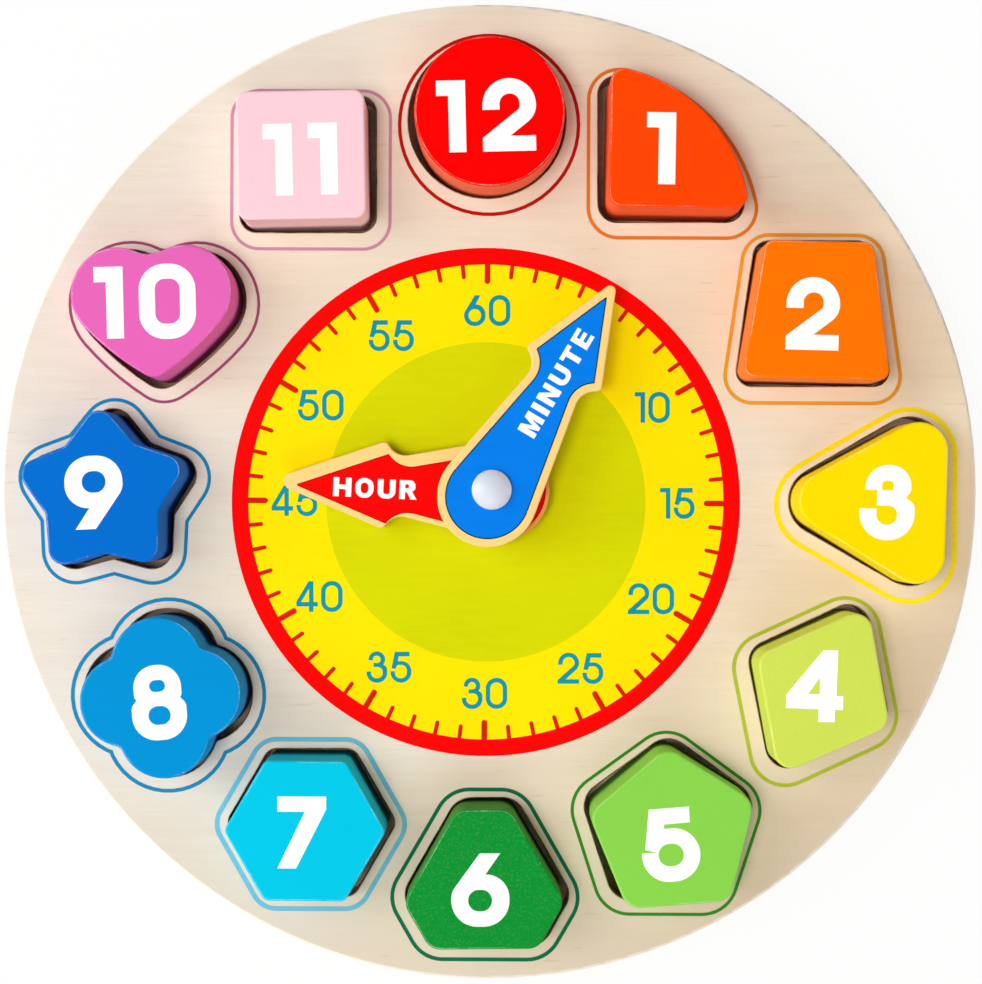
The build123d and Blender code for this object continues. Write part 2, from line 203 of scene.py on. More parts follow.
LETTERS = {
    "M": [[(0, 0), (0, 1), (0.36, 1), (0.554, 0.42), (0.748, 1), (1.108, 1), (1.108, 0), (0.82, 0),
           (0.82, 0.62), (0.645, 0), (0.463, 0), (0.288, 0.62), (0.288, 0)]],
    "I": [[(0, 0), (0, 1), (0.313, 1), (0.313, 0)]],
    "N": [[(0, 0), (0, 1), (0.31, 1), (0.65, 0.42), (0.65, 1), (0.94, 1), (0.94, 0), (0.63, 0),
           (0.29, 0.58), (0.29, 0)]],
    "U": [[(0, 1), (0, -0.01, 0.4), (0.94, -0.01, 0.4), (0.94, 1), (0.64, 1), (0.64, 0.22, 0.15),
           (0.30, 0.22, 0.15), (0.30, 1)]],
    "T": [[(0, 1), (0.87, 1), (0.87, 0.77), (0.585, 0.77), (0.585, 0), (0.285, 0), (0.285, 0.77),
           (0, 0.77)]],
    "E": [[(0, 0), (0, 1), (0.78, 1), (0.78, 0.78), (0.30, 0.78), (0.30, 0.61), (0.74, 0.61), (0.74, 0.40),
           (0.30, 0.40), (0.30, 0.22), (0.795, 0.22), (0.795, 0)]],
    "H": [[(0, 0), (0, 1), (0.3, 1), (0.3, 0.62), (0.65, 0.62), (0.65, 1), (0.95, 1), (0.95, 0), (0.65, 0),
           (0.65, 0.39), (0.3, 0.39), (0.3, 0)]],
    "O": [panel(0, -0.02, 0.96, 1.02, 0.46), panel(0.28, 0.22, 0.68, 0.78, 0.19)],
    "R": [[(0, 0), (0, 1), (0.83, 1, 0.28), (0.83, 0.46, 0.22), (0.66, 0.43), (0.92, 0), (0.60, 0),
           (0.40, 0.37), (0.30, 0.37), (0.30, 0)],
          [(0.30, 0.79), (0.30, 0.58), (0.50, 0.58, 0.1), (0.50, 0.79, 0.1)]],
}


def length(name, description, millimetres):
    """A size that is given in millimetres and kept in metres."""
    return FloatProperty(name=name, description=description, default=millimetres * MM, min=0,
                         unit="LENGTH", precision=5)


def colour(name, description, red, green, blue):
    """A colour that is given as an 8-bit screen colour."""
    return FloatVectorProperty(name=name, description=description, subtype="COLOR_GAMMA", min=0, max=1,
                               default=(red / 255, green / 255, blue / 255))


def paint_of(hour, shape, *screen_colour):
    """The colour of a block's paint."""
    return colour(f"Block {hour}", f"Paint of the {shape}", *screen_colour)


def ink_round(hour, shape, *screen_colour):
    """The colour of the ink round a block's socket."""
    return colour(f"Outline {hour}", f"Ink round the {shape}'s socket", *screen_colour)


def power(name, description, watts):
    """The power of a lamp."""
    return FloatProperty(name=name, description=description, default=watts, min=0, unit="POWER")


def light_colour(name, description, *linear_colour):
    """The colour of a light, as linear shares."""
    return FloatVectorProperty(name=name, description=description, subtype="COLOR", min=0, max=1,
                               default=linear_colour)


class ClockPrintSizes(bpy.types.PropertyGroup):
    """Sizes of the print on the board and the blocks."""

    film: length("Ink film", "How far the ink stands above the wood", 0.03)
    washer_gap: length("Washer gap", "Bare wood left round the washer under the hands", 0.2)
    ring_outer: length("Ring outside", "Outer radius of the dial's ring", 56.02)
    ring_inner: length("Ring inside", "Inner radius of the dial's ring", 52.35)
    centre_radius: length("Centre disc", "Radius of the dial's centre disc", 35.2)
    minor_tick: length("Minute mark", "Length of a minute mark", 3.0)
    minor_width: length("Minute mark width", "Width of a minute mark", 0.9)
    major_tick: length("Five minute mark", "Length of every fifth mark", 4.3)
    major_width: length("Five minute mark width", "Width of every fifth mark", 1.25)
    number_radius: length("Number circle", "Radius on which the dial's numbers stand", 42.2)
    number_height: length("Number height", "Height of the dial's numbers", 6.75)
    numeral_height: length("Numeral height", "Height of the numbers on the blocks", 15.45)
    outline_offset: length("Outline offset", "From a socket's edge to the middle of its outline", 2.3)
    outline_width: length("Outline width", "Width of the outline round a socket", 0.7)
    char_width: length("Charred edge", "Width of the browned line along a socket's edge", 0.24)


class ClockHandSizes(bpy.types.PropertyGroup):
    """Sizes of the paint and the words on the hands."""

    minute_border: length("Minute border", "Bare wood round the minute hand's paint", 1.85)
    hour_border: length("Hour border", "Bare wood round the hour hand's paint", 1.78)
    paint_edge: length("Paint edge", "Width of the dark line at the paint's edge", 0.27)
    pin_hole: length("Pin clearance", "Radius left unpainted round the pin", 3.0)
    minute_word: length("Minute word", "Height of the word on the minute hand", 4.18)
    hour_word: length("Hour word", "Height of the word on the hour hand", 4.15)


class ClockColours(bpy.types.PropertyGroup):
    """Paints, inks, woods and plastics of the clock."""

    block_12: paint_of(12, "disc", 248, 0, 0)
    block_1: paint_of(1, "quarter disc", 254, 70, 2)
    block_2: paint_of(2, "trapezium", 254, 118, 1)
    block_3: paint_of(3, "triangle", 252, 224, 1)
    block_4: paint_of(4, "rhombus", 208, 226, 89)
    block_5: paint_of(5, "pentagon", 136, 211, 77)
    block_6: paint_of(6, "cut triangle", 8, 143, 48)
    block_7: paint_of(7, "hexagon", 0, 198, 232)
    block_8: paint_of(8, "quatrefoil", 0, 144, 213)
    block_9: paint_of(9, "star", 0, 107, 205)
    block_10: paint_of(10, "heart", 227, 101, 185)
    block_11: paint_of(11, "square", 248, 206, 218)
    outline_12: ink_round(12, "disc", 178, 16, 10)
    outline_1: ink_round(1, "quarter disc", 214, 118, 38)
    outline_2: ink_round(2, "trapezium", 222, 152, 46)
    outline_3: ink_round(3, "triangle", 243, 221, 28)
    outline_4: ink_round(4, "rhombus", 173, 184, 52)
    outline_5: ink_round(5, "pentagon", 52, 130, 32)
    outline_6: ink_round(6, "cut triangle", 12, 106, 68)
    outline_7: ink_round(7, "hexagon", 112, 185, 208)
    outline_8: ink_round(8, "quatrefoil", 30, 136, 182)
    outline_9: ink_round(9, "star", 24, 132, 182)
    outline_10: ink_round(10, "heart", 156, 74, 110)
    outline_11: ink_round(11, "square", 197, 138, 163)
    char: colour("Charred edge", "Wood that the cutter has browned along the sockets' edges", 74, 52, 40)
    numeral: colour("Numerals", "Ink of the numbers on the blocks", 255, 255, 255)
    ring: colour("Ring", "Ink of the dial's ring", 255, 0, 0)
    tick: colour("Marks", "Ink of the dial's minute marks", 216, 28, 2)
    dial: colour("Dial", "Ink of the dial between its ring and its centre", 255, 229, 0)
    centre: colour("Centre", "Ink of the dial's centre disc", 212, 215, 0)
    number: colour("Numbers", "Ink of the dial's numbers", 18, 148, 168)
    minute: colour("Minute hand", "Paint of the minute hand", 0, 125, 235)
    hour: colour("Hour hand", "Paint of the hour hand", 255, 0, 0)
    minute_edge: colour("Minute paint edge", "Dark line at the edge of the minute hand's paint", 0, 50, 80)
    hour_edge: colour("Hour paint edge", "Dark line at the edge of the hour hand's paint", 205, 15, 5)
    hand_wood: colour("Hand wood", "Bare wood of the two hands", 253, 212, 135)
    # Painted orange light that the red paint bounces onto the hour hand's tail, in the minute hand's shade
    hand_stain: colour("Hand stain", "Wood that paint has stained at the hour hand's tail", 240, 130, 25)
    cream_wood: colour("Cream wood", "Bare wood at the left of the face panel", 233, 225, 213)
    tan_wood: colour("Tan wood", "Bare wood at the right of the face panel", 235, 216, 190)
    back_wood: colour("Back wood", "Bare wood of the back panel", 235, 209, 184)
    knob: colour("Knob", "Plastic of the pivot's knob", 214, 220, 235)
    washer: colour("Washers", "Plastic of the washers", 219, 219, 219)


class ClockStageSizes(bpy.types.PropertyGroup):
    """Floor, light and camera."""

    key_power: power("Key light", "Power of the large lamp on the left", 11.3)
    front_power: power("Front light", "Power of the weak lamp at the picture's foot", 6.4)
    side_power: power("Side light", "Power of the low lamp on the left", 4.5)
    rim_power: power("Rim light", "Power of the low lamp on the right", 3.2)
    top_power: power("Top light", "Power of the lamp over the clock", 10.1)
    key_colour: light_colour("Key colour", "Colour of the large lamp on the left", 0.85, 0.93, 1)
    front_colour: light_colour("Front colour", "Colour of the lamp at the picture's foot", 0.9, 1, 1)
    low_colour: light_colour("Low colour", "Colour of the two low lamps", 1, 0.97, 0.93)
    top_colour: light_colour("Top colour", "Colour of the lamp over the clock", 0.98, 0.94, 0.89)
    surround: light_colour("Surround", "Even warm light from all round", 0.20, 0.165, 0.14)
    large_size: length("Large lamp size", "Side of the key and front lamps", 1100)
    small_size: length("Small lamp size", "Side of the top, side and rim lamps", 500)
    camera_height: length("Camera height", "Camera above the table", 430)
    lens: FloatProperty(name="Lens", description="Focal length of the camera in millimetres",
                        default=69.5, min=1, unit="CAMERA")


def linear(screen_colour):
    """A screen colour as the linear value that a shader takes."""
    return tuple(c / 12.92 if c <= 0.04045 else ((c + 0.055) / 1.055) ** 2.4 for c in screen_colour)


def only(piece):
    """Leaves one object selected and active."""
    bpy.ops.object.select_all(action="DESELECT")
    piece.select_set(True)
    bpy.context.view_layer.objects.active = piece


def arc(middle, radius, start, turn, step=radians(6)):
    """Points along an arc from a start angle through a turn."""
    steps = max(2, ceil(abs(turn) / step))
    angles = [start + turn * k / steps for k in range(steps + 1)]
    return [(middle[0] + radius * cos(angle), middle[1] + radius * sin(angle)) for angle in angles]


def heading(a, b):
    """The direction from one point to another, as an angle."""
    return atan2(b[1] - a[1], b[0] - a[0])


def half_turned(angle):
    """An angle brought to between minus and plus half a turn."""
    return (angle + pi) % (2 * pi) - pi


def rounded(corners):
    """The points of a closed loop of corners, with an arc at each corner that has a radius."""
    count = len(corners)
    ahead = [heading(corners[i], corners[(i + 1) % count]) for i in range(count)]
    turns = [half_turned(ahead[i] - ahead[i - 1]) for i in range(count)]
    cuts = [corner[2] * tan(abs(turn) / 2) if len(corner) > 2 else 0 for corner, turn in zip(corners, turns)]
    for i in range(count):
        # Two rounds that share an edge are never longer than the edge
        following = (i + 1) % count
        edge = hypot(corners[following][0] - corners[i][0], corners[following][1] - corners[i][1])
        share = edge / max(cuts[i] + cuts[following], edge)
        cuts[i] *= share
        cuts[following] *= share
    loop = []
    for corner, cut, turn, behind in zip(corners, cuts, turns, ahead[-1:] + ahead[:-1]):
        if not cut:
            loop.append(corner[:2])
            continue
        radius = cut / tan(abs(turn) / 2)
        side = 1 if turn > 0 else -1
        start = (corner[0] - cut * cos(behind), corner[1] - cut * sin(behind))
        middle = (start[0] - side * radius * sin(behind), start[1] + side * radius * cos(behind))
        loop += arc(middle, radius, behind - side * pi / 2, turn)
    return loop


def circle(radius, middle):
    """The points of a circle."""
    return arc(middle, radius, 0, 2 * pi, radians(2))[:-1]


def divided(loop, step):
    """A closed loop with points added so that none are farther apart than a step."""
    points = []
    for a, b in zip(loop, loop[1:] + loop[:1]):
        pieces = max(1, ceil(hypot(b[0] - a[0], b[1] - a[1]) / step))
        for k in range(pieces):
            points.append((a[0] + (b[0] - a[0]) * k / pieces, a[1] + (b[1] - a[1]) * k / pieces))
    return points


def grown(loop, distance, measured=0.1, spacing=0.15, closest=0.06, slack=0.004):
    """A counterclockwise loop moved outwards by a distance, or inwards where it is negative.

    It is measured, but for the slack, from points that are `measured` apart on the loop. The new points are
    at least `closest` apart, because points that almost meet would spoil the fill.
    """
    dense = divided(loop, measured)
    nearest = KDTree(len(dense))
    for i, point in enumerate(dense):
        nearest.insert((*point, 0), i)
    nearest.balance()
    count = len(loop)
    moved = []
    for i in range(count):
        out = heading(loop[i - 1], loop[i]) - pi / 2
        turn = half_turned(heading(loop[i], loop[(i + 1) % count]) - pi / 2 - out)
        moved += arc(loop[i], distance, out, turn)
    kept = []
    for point in divided(moved, spacing):
        clear = nearest.find((*point, 0))[2] > abs(distance) - slack
        if clear and (not kept or hypot(point[0] - kept[-1][0], point[1] - kept[-1][1]) > closest):
            kept.append(point)
    return kept


def placed(loops, move, turn=0.0, scale=1.0):
    """Loops scaled, turned about the origin by degrees, then moved."""
    c, s = scale * cos(radians(turn)), scale * sin(radians(turn))
    return [[(move[0] + c * x - s * y, move[1] + s * x + c * y) for x, y in loop] for loop in loops]


def lettered(text, alphabet, height, space, anchor=0.5):
    """Loops of a row of characters, with the origin at half its height and at a share of its width."""
    loops = []
    right = 0
    for character in text:
        shape = [rounded(corners) for corners in alphabet[character]]
        loops += [[(right + x * height, (y - 0.5) * height) for x, y in loop] for loop in shape]
        right += height * max(x for x, y in shape[0]) + space
    width = right - space
    return placed(loops, (-width * anchor, 0))


def section(node, height):
    """The counterclockwise loops, in millimetres, that a CAD node's walls draw at a height in metres."""
    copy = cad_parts[node].copy()
    copy.data = copy.data.copy()
    bpy.context.collection.objects.link(copy)
    only(copy)
    bpy.ops.object.mode_set(mode="EDIT")
    bpy.ops.mesh.select_all(action="SELECT")
    bpy.ops.mesh.remove_doubles(threshold=MERGED_METRES)
    bpy.ops.mesh.select_all(action="SELECT")
    bpy.ops.mesh.bisect(plane_co=(0, 0, height), plane_no=(0, 0, 1), clear_inner=True, clear_outer=True)
    bpy.ops.object.mode_set(mode="OBJECT")
    bpy.ops.object.convert(target="CURVE")
    copy = bpy.context.view_layer.objects.active
    loops = []
    for spline in copy.data.splines:
        loop = [(point.co.x / MM, point.co.y / MM) for point in spline.points]
        doubled_area = sum(a[0] * b[1] - b[0] * a[1] for a, b in zip(loop, loop[1:] + loop[:1]))
        loops.append(loop if doubled_area > 0 else loop[::-1])
    bpy.data.objects.remove(copy)
    return loops


def drawn(name, loops, bead=0.0):
    """A mesh of loops in millimetres: a flat filled shape, or round beads of a radius along the loops."""
    curve = bpy.data.curves.new(name, "CURVE")
    curve.dimensions = "3D" if bead else "2D"
    curve.fill_mode = "FULL" if bead else "FRONT"
    curve.bevel_depth = bead
    curve.bevel_resolution = 0
    for loop in loops:
        spline = curve.splines.new("POLY")
        spline.points.add(len(loop) - 1)
        for point, place in zip(spline.points, loop):
            point.co = (*place, 0, 1)
        spline.use_cyclic_u = True
    piece = bpy.data.objects.new(name, curve)
    bpy.context.collection.objects.link(piece)
    only(piece)
    bpy.ops.object.convert(target="MESH")
    piece = bpy.context.view_layer.objects.active
    bpy.ops.object.mode_set(mode="EDIT")
    bpy.ops.mesh.select_all(action="SELECT")
    bpy.ops.mesh.remove_doubles(threshold=MERGED_MILLIMETRES)
    bpy.ops.mesh.select_all(action="SELECT")
    return piece


def laid(piece, level, flatness, finish, body):
    """Turns a drawn mesh's faces outwards, lays it at a level, and gives it a finish and a body."""
    bpy.ops.mesh.select_all(action="SELECT")
    bpy.ops.mesh.normals_make_consistent(inside=False)
    bpy.ops.object.mode_set(mode="OBJECT")
    piece.scale = (MM, MM, MM * flatness)
    piece.location = (0, 0, level)
    bpy.ops.object.transform_apply(location=True, rotation=True, scale=True)
    piece.data.materials.append(finish)
    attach(piece, body)


def print_ink(name, loops, level, finish, body, layer=0):
    """Lays loops, in millimetres, on a face at a level in metres as a thin closed film of ink.

    The film starts as deep in the wood as it stands above it; each layer more makes it one film thicker.
    """
    film = bpy.context.scene.clock_print.film
    piece = drawn(name, loops)
    height = (2 + layer) * film / MM
    bpy.ops.mesh.extrude_region_move(TRANSFORM_OT_translate={"value": (0, 0, height)})
    laid(piece, level - film, 1, finish, body)


def print_line(name, loop, width, level, finish, body, flatness=0.5):
    """Lays a loop, in millimetres, on a face at a level in metres as a thin bead that is pressed flat."""
    laid(drawn(name, [loop], width / 2), level, flatness, finish, body)


def add_node(tree, kind, inputs=None, **settings):
    """A shader node with its settings, and its inputs set to values or linked to outputs."""
    node = tree.nodes.new(kind)
    for setting, value in settings.items():
        setattr(node, setting, value)
    for socket, value in (inputs or {}).items():
        if isinstance(value, bpy.types.NodeSocket):
            tree.links.new(value, node.inputs[socket])
        else:
            node.inputs[socket].default_value = value
    return node


class Finish:
    """A procedural material that is put together from shader nodes."""

    def __init__(self, name, roughness, specular):
        self.material = bpy.data.materials.new(name)
        self.material.use_nodes = True
        self.nodes = self.material.node_tree.nodes
        self.links = self.material.node_tree.links
        self.shader = self.nodes["Principled BSDF"]
        self.shader.inputs["Specular IOR Level"].default_value = specular
        self.shader.inputs["Roughness"].default_value = roughness

    def add(self, kind, inputs=None, **settings):
        """A new node of the material."""
        return add_node(self.material.node_tree, kind, inputs, **settings)

    def math(self, operation, *values):
        """An operation on values or outputs."""
        return self.add("ShaderNodeMath", dict(enumerate(values)), operation=operation).outputs[0]

    def space(self, along=1.0, turn=0.0):
        """The object's own coordinates, turned about Z by degrees, then scaled along X by a share."""
        place = self.add("ShaderNodeTexCoord").outputs["Object"]
        turned = self.add("ShaderNodeMapping", {"Vector": place, "Rotation": (0, 0, radians(turn))})
        return self.add("ShaderNodeMapping", {"Vector": turned.outputs[0], "Scale": (along, 1, 1)}).outputs[0]

    def noise(self, scale, detail=2.0, roughness=0.5, along=1.0, turn=0.0):
        """A noise from 0 to 1; a small share along X draws it out into grain."""
        space = self.space(along, turn)
        inputs = {"Vector": space, "Scale": scale, "Detail": detail, "Roughness": roughness}
        return self.add("ShaderNodeTexNoise", inputs).outputs["Fac"]

    def ranged(self, value, low, high, to_low=0.0, to_high=1.0):
        """A value brought from one range to another, and kept inside it."""
        inputs = {"Value": value, "From Min": low, "From Max": high, "To Min": to_low, "To Max": to_high}
        return self.add("ShaderNodeMapRange", inputs).outputs[0]

    def times(self, a, b):
        """Two values multiplied."""
        return self.math("MULTIPLY", a, b)

    def blend(self, factor, a, b):
        """One colour turning into another with a factor; colours are linear triples or outputs."""
        a, b = ((*c, 1) if isinstance(c, tuple) else c for c in (a, b))
        return self.add("ShaderNodeMix", {0: factor, 6: a, 7: b}, data_type="RGBA").outputs[2]

    def flatness(self, low, high):
        """From 0 on a wall to 1 on a level face, whether it faces up or down."""
        normal = self.add("ShaderNodeNewGeometry").outputs["Normal"]
        upward = self.add("ShaderNodeSeparateXYZ", {0: normal}).outputs["Z"]
        return self.ranged(self.math("ABSOLUTE", upward), low, high)

    def plied(self, height, pair):
        """Dark and light plies that take turns up an edge, a pair of them to each step."""
        wave = self.math("SINE", self.times(height, 2 * pi / pair))
        return self.blend(self.ranged(wave, -0.2, 0.2), linear(DARK_PLY), linear(LIGHT_PLY))

    def bumped(self, height, strength, distance):
        """Presses a height into the surface."""
        inputs = {"Height": height, "Strength": strength, "Distance": distance}
        self.links.new(self.add("ShaderNodeBump", inputs).outputs[0], self.shader.inputs["Normal"])

    def coloured(self, output):
        """Gives the surface its colour, and returns the finished material."""
        self.links.new(output, self.shader.inputs["Base Color"])
        return self.material


def shaded(colour_value, share):
    """A linear colour made darker or lighter by a share."""
    return tuple(min(1.0, c * share) for c in colour_value)


def ink(name, screen_colour, variation=0.06):
    """Printed ink: a little uneven, with the wood's grain faintly under it."""
    finish = Finish(name, roughness=0.5, specular=0.1)
    base = linear(screen_colour)
    fibre = finish.noise(900, 3, along=0.12)
    cloud = finish.noise(60)
    tint = finish.blend(finish.ranged(fibre, 0.35, 0.65), shaded(base, 1 - 0.7 * variation), base)
    tint = finish.blend(finish.ranged(cloud, 0.35, 0.7, 0, 0.5), tint, shaded(base, 1 + variation))
    finish.bumped(fibre, 0.05, 0.0001)
    return finish.coloured(tint)


def painted_wood(name, screen_colour, bounce_share, coarse):
    """Satin paint on wood, paler on the walls by a share as painted light bounced from the board, rubbed and
    chipped along the edges, with a painted highlight near the top of the rounded edge.
    """
    finish = Finish(name, roughness=0.42, specular=0.07)
    base = linear(screen_colour)
    worn_and_glint = tuple(0.5 * c + rubbed for c, rubbed in zip(base, RUBBED_AND_GLINT))
    speckle = finish.noise(1600, 3, 0.6)
    cloud = finish.noise(45)
    tint = finish.blend(finish.ranged(cloud, 0.3, 0.7), shaded(base, 0.98), shaded(base, 1.01))
    speckled = finish.ranged(speckle, 0.42, 0.62, 0, 0.6 if coarse else 0.3)
    tint = finish.blend(speckled, tint, shaded(base, 0.92))
    if coarse:
        grit = finish.ranged(finish.noise(2100), 0.52, 0.66, 0, 0.05)
        tint = finish.blend(grit, tint, worn_and_glint)
    wall = finish.flatness(0.6, 0.25)
    # Painted reflected light: the walls take the warm light that the board bounces onto them
    tint = finish.blend(finish.times(wall, bounce_share), tint, linear(BOARD_BOUNCE))
    finish.links.new(finish.ranged(wall, 0, 1, 0.42, 0.9), finish.shader.inputs["Roughness"])
    # Rubbed, and a painted highlight, in long stretches near the top of the rounded edge
    crown = finish.times(finish.flatness(0.80, 0.90), finish.flatness(0.985, 0.93))
    rub_and_glint = finish.ranged(finish.noise(110), 0.42, 0.62, 0.0, 0.85)
    fray = finish.ranged(finish.noise(1100, 3, 0.6), 0.38, 0.6, 0.25, 1.0)
    tint = finish.blend(finish.times(crown, finish.times(rub_and_glint, fray)), tint, worn_and_glint)
    # Chipped in a few specks all over the rounded edge
    chip = finish.ranged(finish.noise(1500, 3, 0.6), 0.67, 0.71)
    edge = finish.times(finish.flatness(0.3, 0.5), finish.flatness(0.9995, 0.98))
    tint = finish.blend(finish.times(edge, finish.times(chip, 0.7)), tint, worn_and_glint)
    finish.bumped(speckle, 0.12, 0.0002)
    return finish.coloured(tint)


def face_plywood(name, cream, tan):
    """Pale plywood that turns from cream to tan across the board, with plies and burnt sockets, painted shade
    at its foot and lower right edge, and a painted light on its rounded rim.
    """
    finish = Finish(name, roughness=0.55, specular=0.2)
    cream, tan = linear(cream), linear(tan)
    place = finish.add("ShaderNodeTexCoord").outputs["Object"]
    parts = finish.add("ShaderNodeSeparateXYZ", {0: place}).outputs
    # Cream at the left and tan at the right, in uneven patches
    across = finish.ranged(parts["X"], -0.1, 0.1, 0.0, 0.8)
    patch = finish.ranged(finish.noise(26, 3, 0.55, along=0.35), 0.35, 0.7, -0.3, 0.45)
    tint = finish.blend(finish.math("ADD", across, patch), cream, tan)
    # Fine fibres and broader bands along the grain
    fibre = finish.noise(2200, 4, 0.65, along=0.05)
    band = finish.noise(420, 3, 0.55, along=0.08)
    brown = linear(BROWN_GRAIN)
    tint = finish.blend(finish.ranged(fibre, 0.35, 0.75, 0, 0.10), tint, brown)
    tint = finish.blend(finish.ranged(band, 0.42, 0.75, 0, 0.10), tint, brown)
    # Painted shade: darker towards the foot of the board and towards its lower right edge, where the light
    # falls off
    foot = finish.ranged(parts["Y"], -0.05, -0.105, 0.0, 0.75)
    tint = finish.blend(foot, tint, linear(FOOT_SHADE))
    slope = finish.add("ShaderNodeVectorMath", {0: place, 1: (0.8, -0.6, 0)}, operation="DOT_PRODUCT")
    corner = finish.ranged(slope.outputs["Value"], 0.075, 0.1, 0, 0.4)
    tint = finish.blend(corner, tint, linear(CORNER_SHADE))
    fleck = finish.noise(900, along=0.12)
    tint = finish.blend(finish.ranged(fleck, 0.68, 0.74, 0, 0.25), tint, brown)
    rim = finish.plied(parts["Z"], FACE_PLIES)
    rim = finish.blend(finish.ranged(fibre, 0.3, 0.7, 0, 0.3), rim, brown)
    flat = finish.add("ShaderNodeCombineXYZ", {0: parts["X"], 1: parts["Y"]}).outputs[0]
    reach = finish.add("ShaderNodeVectorMath", {0: flat}, operation="LENGTH").outputs["Value"]
    # Painted light: the rim's rounding is paled so that it shows no shade where it turns away from the lamps
    rounded_off = finish.ranged(reach, BOARD_RADIUS - 1.3 * MM, BOARD_RADIUS - 0.7 * MM)
    painted_rim_light = finish.times(rounded_off, finish.flatness(0.995, 0.85))
    tint = finish.blend(finish.times(painted_rim_light, 0.7), tint, linear(RIM_LIGHT_COLOUR))
    # A wall is a ply edge at the rim and burnt wood in the sockets
    inside = finish.ranged(reach, BOARD_RADIUS - 2 * MM, BOARD_RADIUS - 3 * MM)
    wall = finish.blend(inside, rim, linear(SOCKET_WOOD))
    tint = finish.blend(finish.flatness(0.35, 0.15), tint, wall)
    finish.bumped(fibre, 0.1, 0.0002)
    return finish.coloured(tint)


def charred(name, screen_colour):
    """Wood browned by the cutter, darker in some stretches than in others."""
    finish = Finish(name, roughness=0.7, specular=0.1)
    scorch = finish.noise(130, 3, 0.6)
    smoke = finish.noise(900)
    tint = finish.blend(finish.ranged(scorch, 0.4, 0.62), linear(screen_colour), linear(SCORCHED_WOOD))
    smoky = finish.ranged(smoke, 0.35, 0.65, 0, 0.35)
    return finish.coloured(finish.blend(smoky, tint, linear(screen_colour)))


def back_plywood(name, screen_colour):
    """Plain plywood with long grain and darker streaks."""
    finish = Finish(name, roughness=0.6, specular=0.3)
    base = linear(screen_colour)
    fibre = finish.noise(700, 4, 0.6, along=0.04)
    streak = finish.noise(90, 3, along=0.06)
    tint = finish.blend(finish.ranged(fibre, 0.3, 0.7), shaded(base, 0.8), base)
    tint = finish.blend(finish.ranged(streak, 0.45, 0.7, 0, 0.6), tint, shaded(base, 0.7))
    place = finish.add("ShaderNodeTexCoord").outputs["Object"]
    height = finish.add("ShaderNodeSeparateXYZ", {0: place}).outputs["Z"]
    tint = finish.blend(finish.flatness(0.35, 0.15), tint, finish.plied(height, BACK_PLIES))
    finish.bumped(fibre, 0.15, 0.0003)
    return finish.coloured(tint)


def hand_wood(name, screen_colour, direction, stain):
    """Pale bare wood whose grain runs along the hand, with painted shade on its walls, and painted bounce
    light of a strength behind the pivot.
    """
    finish = Finish(name, roughness=0.5, specular=0.35)
    base = linear(screen_colour)
    fibre = finish.noise(1400, 4, 0.6, 0.06, -direction)
    cloud = finish.noise(70)
    tint = finish.blend(finish.ranged(fibre, 0.3, 0.7), shaded(base, 0.95), shaded(base, 1.04))
    tint = finish.blend(finish.ranged(cloud, 0.4, 0.7, 0, 0.4), tint, shaded(base, 0.95))
    # Painted shade: the hand's walls are darker than its face
    tint = finish.blend(finish.flatness(0.5, 0.1), tint, shaded(base, 0.75))
    along = finish.add("ShaderNodeSeparateXYZ", {0: finish.space(turn=-direction)}).outputs["X"]
    # Painted light and shade: the wood behind the pivot is tinted orange, as by light bounced from the red
    # paint
    bounce_tinted = finish.ranged(along, -3 * MM, -8 * MM, 0, stain)
    tint = finish.blend(bounce_tinted, tint, linear(bpy.context.scene.clock_colours.hand_stain))
    finish.bumped(fibre, 0.1, 0.0002)
    return finish.coloured(tint)


def plastic(name, screen_colour, roughness, milkiness=0.0):
    """Moulded plastic with a faint flow in its colour, a slight orange peel, and some milky depth."""
    finish = Finish(name, roughness, specular=0.5)
    finish.shader.inputs["Subsurface Weight"].default_value = milkiness
    finish.shader.inputs["Subsurface Radius"].default_value = (1, 1, 1)
    finish.shader.inputs["Subsurface Scale"].default_value = 3 * MM
    base = linear(screen_colour)
    flow = finish.noise(220, 3)
    peel = finish.noise(2600)
    tint = finish.blend(finish.ranged(flow, 0.35, 0.65), shaded(base, 0.96), shaded(base, 1.02))
    finish.bumped(peel, 0.04, 0.0001)
    return finish.coloured(tint)


def middle_of(node):
    """The middle of a CAD node's box, in millimetres across and along the board."""
    low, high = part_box(node)
    return (low.x + high.x) / 2 / MM, (low.y + high.y) / 2 / MM


def dress(node, finish):
    """Gives a CAD node its finish."""
    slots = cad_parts[node].data.materials
    slots.clear()
    slots.append(finish)


def slid(loop, turn, slide, tail, fade=6):
    """A hand's loop with its shaft and head slid along and across the hand, and its tail scaled.

    The one passes into the other between `fade` millimetres before and behind the pin.
    """
    moved = []
    for x, y in placed([[(x - PIVOT[0], y - PIVOT[1]) for x, y in loop]], (0, 0), -turn)[0]:
        share = min(1, max(0, (x + fade) / (2 * fade)))
        size = share + tail * (1 - share)
        moved.append((x * size + slide[0] * share, y * size + slide[1] * share))
    return placed([moved], PIVOT, turn)[0]


